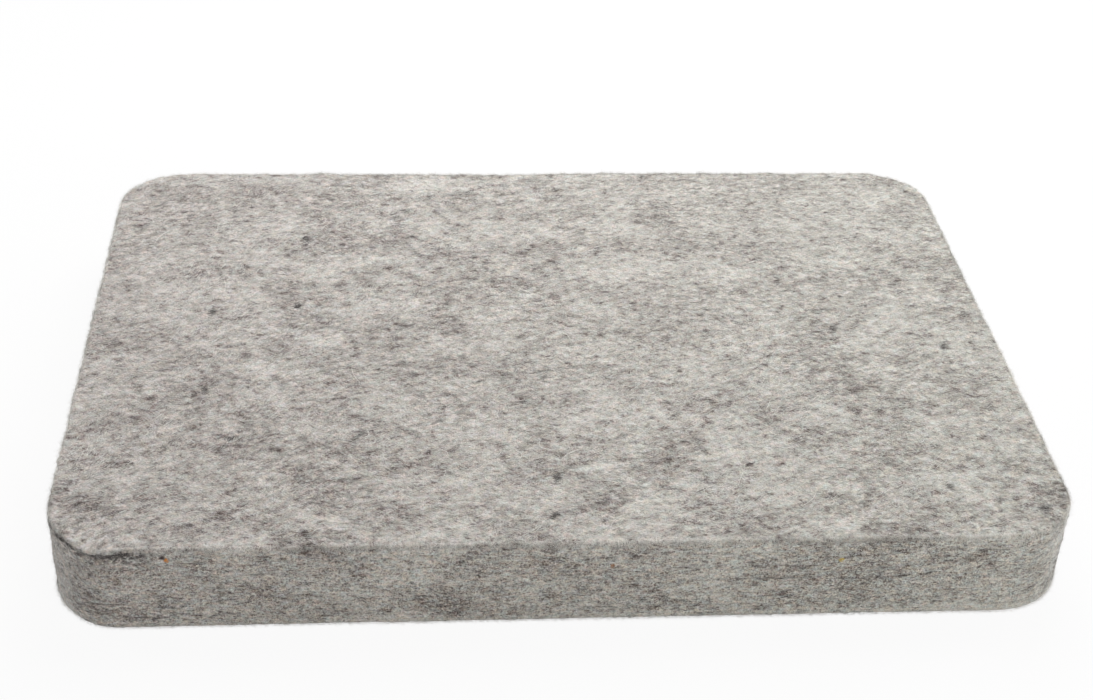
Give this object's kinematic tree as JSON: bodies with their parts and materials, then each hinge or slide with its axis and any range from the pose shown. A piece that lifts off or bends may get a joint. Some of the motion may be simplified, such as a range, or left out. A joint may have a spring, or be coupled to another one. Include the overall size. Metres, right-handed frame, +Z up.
{
  "type": "needle felting mat",
  "caption": "Thick rectangular block of soft grey wool felt with rounded corners, laid up from pressed plies: the padded surface that a felting needle is worked into.",
  "frame": {"origin": "middle of the mat's underside", "axes": "+X along the long side, +Y away from the person at work, +Z up"},
  "size_m": [0.3, 0.22, 0.0288],
  "materials": {
    "felt": "matt, fuzzy, mottled grey wool felt with darker flecks and fine pale fibres"
  },
  "bodies": {
    "root": {"bottom_ply": "felt", "core_ply_1": "felt", "core_ply_2": "felt", "core_ply_3": "felt", "core_ply_4": "felt", "top_ply": "felt"}
  },
  "joints": []
}
